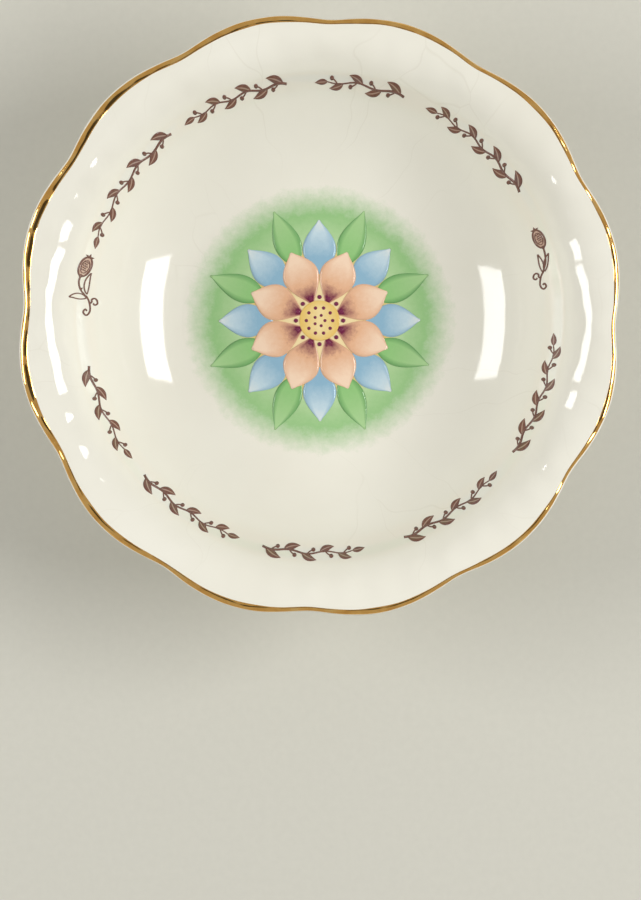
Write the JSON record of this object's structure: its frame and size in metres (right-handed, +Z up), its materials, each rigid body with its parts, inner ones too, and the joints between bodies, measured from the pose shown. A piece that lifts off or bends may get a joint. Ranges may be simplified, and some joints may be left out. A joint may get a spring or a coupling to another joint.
{
  "type": "footed ritual bowl",
  "caption": "Small footed ceramic bowl for a seder table, with a scalloped and fluted flaring rim, a gilt lip line and fired prints inside",
  "frame": {"origin": "centre of the foot ring's standing face", "axes": "+Z is up out of the bowl, +X to the right and +Y away from a viewer who sees the sprigs upright"},
  "size_m": [0.15, 0.15, 0.0389],
  "materials": {
    "biscuit": "matt unglazed",
    "glaze": "gloss",
    "gilt": "bright",
    "centre_enamel": "gloss",
    "brown_enamel": "gloss"
  },
  "bodies": {
    "root": {"bowl_body": "biscuit", "glaze_coat": "glaze", "gilt_rim_line": "gilt", "centre_print": "centre_enamel", "border_print_upper": "brown_enamel", "border_print_lower": "brown_enamel", "sprig_print_left": "brown_enamel", "sprig_print_right": "brown_enamel"}
  },
  "joints": []
}
